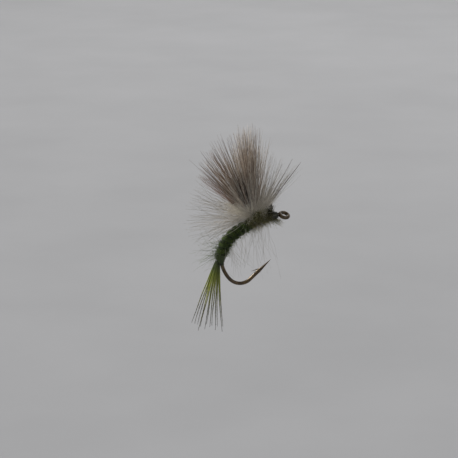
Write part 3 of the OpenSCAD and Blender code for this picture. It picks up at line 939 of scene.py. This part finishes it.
# ---------------------------------------------------------------- tail
TAIL, TAIL_LENGTH = 13, 12.0
TAIL_LIFT, TAIL_FAN, TAIL_ACROSS = 14.5, 10.8, 7.0
rng = np.random.default_rng(121)
p0, out0, along0 = [v[0] for v in wire_frame([LASHING[1] - 0.3])]
spread = np.linspace(-1, 1, TAIL)
across = np.radians(TAIL_ACROSS * rng.uniform(-1, 1, TAIL))
heading = math.atan2(along0[2], along0[0]) - np.radians(TAIL_LIFT + TAIL_FAN * spread)
level = np.cos(across)
direction = np.stack([np.cos(heading) * level, np.sin(across), np.sin(heading) * level], -1)
length = TAIL_LENGTH * (0.90 + 0.10 * rng.random(TAIL))
aside = 0.2 * np.sin(across) / math.sin(math.radians(TAIL_ACROSS))
root = p0 + out0 * (0.60 + 0.30 * spread[:, None]) + SIDE * aside[:, None]
droop = np.tile(np.array([0.55, 0.0, -0.35]), (TAIL, 1)) + 0.2 * rng.normal(size=(TAIL, 3))
bend = 0.035 + 0.015 * rng.normal(size=TAIL)
stems = hair_paths(root, direction, length, 46, bend, rng, wave=0.03, waves=1.5, bend_way=droop)

# Barred feather: the bars are noise over the way along a fibre and over the fibre's own number.
FEATHER, tree, bsdf = material("olive_feather")
along_fibre = attribute(tree, "along")
colour = ramp(tree, along_fibre, shades(
    (0.0, 26, 36, 4), (0.10, 66, 80, 8), (0.22, 112, 124, 26), (0.40, 142, 148, 54),
    (0.70, 100, 98, 60), (1.0, 62, 60, 48),
))
bars = tree.nodes.new("ShaderNodeTexNoise")
bars.noise_dimensions = "2D"
bars.inputs["Scale"].default_value = 1.0
bars.inputs["Detail"].default_value = 2.0
combine = tree.nodes.new("ShaderNodeCombineXYZ")
tree.links.new(math_node(tree, "MULTIPLY", along_fibre, 26.0), combine.inputs["X"])
tree.links.new(math_node(tree, "MULTIPLY", attribute(tree, "pick"), 40.0), combine.inputs["Y"])
tree.links.new(combine.outputs["Vector"], bars.inputs["Vector"])
dark_bars = ramp(tree, bars.outputs["Fac"], [(0.42, (0.30, 0.30, 0.26)), (0.56, (1.1, 1.1, 1.1))])
amount = ramp(tree, along_fibre, greys((0.2, 0.0), (0.55, 0.85)))
colour = tinted(tree, colour, dark_bars, amount)
tone_stops = [(0.0, (0.7, 0.7, 0.7)), (1.0, (1.25, 1.2, 1.1))]
colour = tinted(tree, colour, ramp(tree, attribute(tree, "tone"), tone_stops))
tree.links.new(colour, bsdf.inputs["Base Color"])
bsdf.inputs["Roughness"].default_value = 0.5
bsdf.inputs["Sheen Weight"].default_value = 0.2
bump(tree, bsdf, noise(tree, 9000.0, 2.0), 0.4, 0.00002)


def feather(name, stems, r0, barbs, barb_len, seed):
    """Barbs of a feather: tapered stems with short barbules along them."""
    rng = np.random.default_rng(seed)
    n, k, _ = stems.shape
    verts, faces, fibre, along = tube_arrays(stems, taper(n, k, r0 * 0.8, r0, 0.022, 0.25), 6)
    tone = rng.random(n)
    pick = rng.random(n)
    t = np.sort(rng.random((n, barbs)) * 0.97 + 0.02, axis=1)
    idx = t * (k - 1)
    i0 = np.clip(idx.astype(int), 0, k - 2)
    f = (idx - i0)[..., None]
    rows = np.arange(n)[:, None]
    root = stems[rows, i0] * (1 - f) + stems[rows, i0 + 1] * f
    tangent = unit(stems[rows, i0 + 1] - stems[rows, i0])
    away = unit(np.cross(tangent, rng.normal(size=(n, barbs, 3))))
    d = unit(0.9 * tangent + 0.42 * away)
    size = barb_len * (0.5 + 0.7 * rng.random((n, barbs)))
    size = size * (0.55 + 0.45 * np.sin(np.pi * np.clip(t * 1.1, 0, 1)))
    paths = hair_paths(root.reshape(-1, 3), d.reshape(-1, 3), size.ravel(), 4, 0.1, rng)
    verts2, faces2, fibre2, _ = tube_arrays(paths, taper(len(paths), 4, 0.011, 0.010, 0.003), 3)
    faces2 = [[x + len(verts) for x in face] for face in faces2]
    owner = np.repeat(np.arange(n), barbs)[fibre2]
    return new_object(name, np.vstack([verts, verts2]), faces + faces2, {
        "along": np.append(along, t.ravel()[fibre2]),
        "tone": np.append(tone[fibre], np.clip(tone[owner] + 0.15, 0, 1)),
        "pick": np.append(pick[fibre], pick[owner]),
    })


piece = feather("tail_feather_fibres", stems, 0.10, 230, 0.42, 122)
finish(piece, FEATHER, "olive_fibre", "tail_fibres")


def hump_radius(s, angle):
    """Distance from the wire to the thread over the tail's root: it narrows behind the
    abdomen and stands out over the fibres."""
    u = float(np.clip((s - LASHING[0]) / (LASHING[1] - LASHING[0]), 0, 1))
    hump = 0.12 + 0.26 * math.sin(math.pi * min(u + 0.2, 1.0))
    return 0.78 - 0.38 * u + hump * max(0.0, math.cos(angle)) ** 1.3


span = (LASHING[0] - 0.1, LASHING[1] + 0.05)
piece = wound_thread("tail_thread", span, hump_radius, 0.062, 0.115, 36, seed=7)
finish(piece, GREEN_THREAD, "green_thread", "tail_lashing")
span = (LASHING[0] - 0.15, LASHING[1])
core = skin_radii(lambda s, a: hump_radius(s, a) - 0.02, span, 40, 40)
finish(swept_body("tail_thread_core", span, core), GREEN_THREAD, "green_thread")

# ---------------------------------------------------------------- stage, in metres
FLOOR_HALF, FLOOR_Z = 3.0, -0.045
corners = [(x * FLOOR_HALF, y * FLOOR_HALF, FLOOR_Z) for x, y in ((-1, -1), (1, -1), (1, 1), (-1, 1))]
floor_mesh = bpy.data.meshes.new("floor")
floor_mesh.from_pydata(corners, [], [(0, 1, 2, 3)])
floor = bpy.data.objects.new("floor", floor_mesh)
bpy.context.scene.collection.objects.link(floor)
PAPER, tree, bsdf = material("floor_paper")
paper = ramp(tree, noise(tree, 30.0, 3.0), shades((0.3, 158, 158, 160), (0.7, 163, 163, 165)))
tree.links.new(paper, bsdf.inputs["Base Color"])
bsdf.inputs["Roughness"].default_value = 0.9
floor.data.materials.append(PAPER)


def new_light(name, kind, strength, colour, way, at=(0, 0, 0)):
    """A light at a place, which shines along a way."""
    light = bpy.data.lights.new(name, kind)
    light.energy = strength
    light.color = colour
    o = bpy.data.objects.new(name, light)
    o.location = at
    o.rotation_euler = way.to_track_quat("-Z", "Y").to_euler()
    bpy.context.scene.collection.objects.link(o)
    return light


CENTRE = Vector((-0.0069, 0.0, -0.0025))
FILL_AT, BACK_AT = Vector((0.30, -0.50, 0.25)), Vector((0.10, 0.50, 0.30))
key = new_light("key", "SUN", 3.0, (1.0, 0.98, 0.94), Vector((0.47, -0.15, -0.32)))
key.angle = math.radians(18)
new_light("fill", "AREA", 0.3, (0.95, 0.97, 1.0), CENTRE - FILL_AT, FILL_AT).size = 0.45
new_light("back", "AREA", 0.5, (1, 1, 1), CENTRE - BACK_AT, BACK_AT).size = 0.40
world = bpy.data.worlds.new("studio")
world.use_nodes = True
world.node_tree.nodes["Background"].inputs["Color"].default_value = (0.9, 0.92, 0.95, 1)
world.node_tree.nodes["Background"].inputs["Strength"].default_value = 0.42
bpy.context.scene.world = world
bpy.context.scene.view_settings.view_transform = "Standard"
bpy.context.scene.view_settings.look = "None"

# ---------------------------------------------------------------- camera
FRAME_PIXELS, METRES_PER_PIXEL = 458, 0.00016
ELEVATION = math.radians(15.0)
AIM = Vector((-0.00880, 0.0, -0.0023))
camera_data = bpy.data.cameras.new("camera")
camera_data.lens = 150
camera_data.sensor_width = 36
camera_data.clip_start = 0.01
camera_data.clip_end = 20
camera = bpy.data.objects.new("camera", camera_data)
distance = camera_data.lens / camera_data.sensor_width * (FRAME_PIXELS * METRES_PER_PIXEL)
camera.location = AIM + distance * Vector((0, -math.cos(ELEVATION), math.sin(ELEVATION)))
camera.rotation_euler = (AIM - camera.location).to_track_quat("-Z", "Y").to_euler()
bpy.context.scene.collection.objects.link(camera)
bpy.context.scene.camera = camera
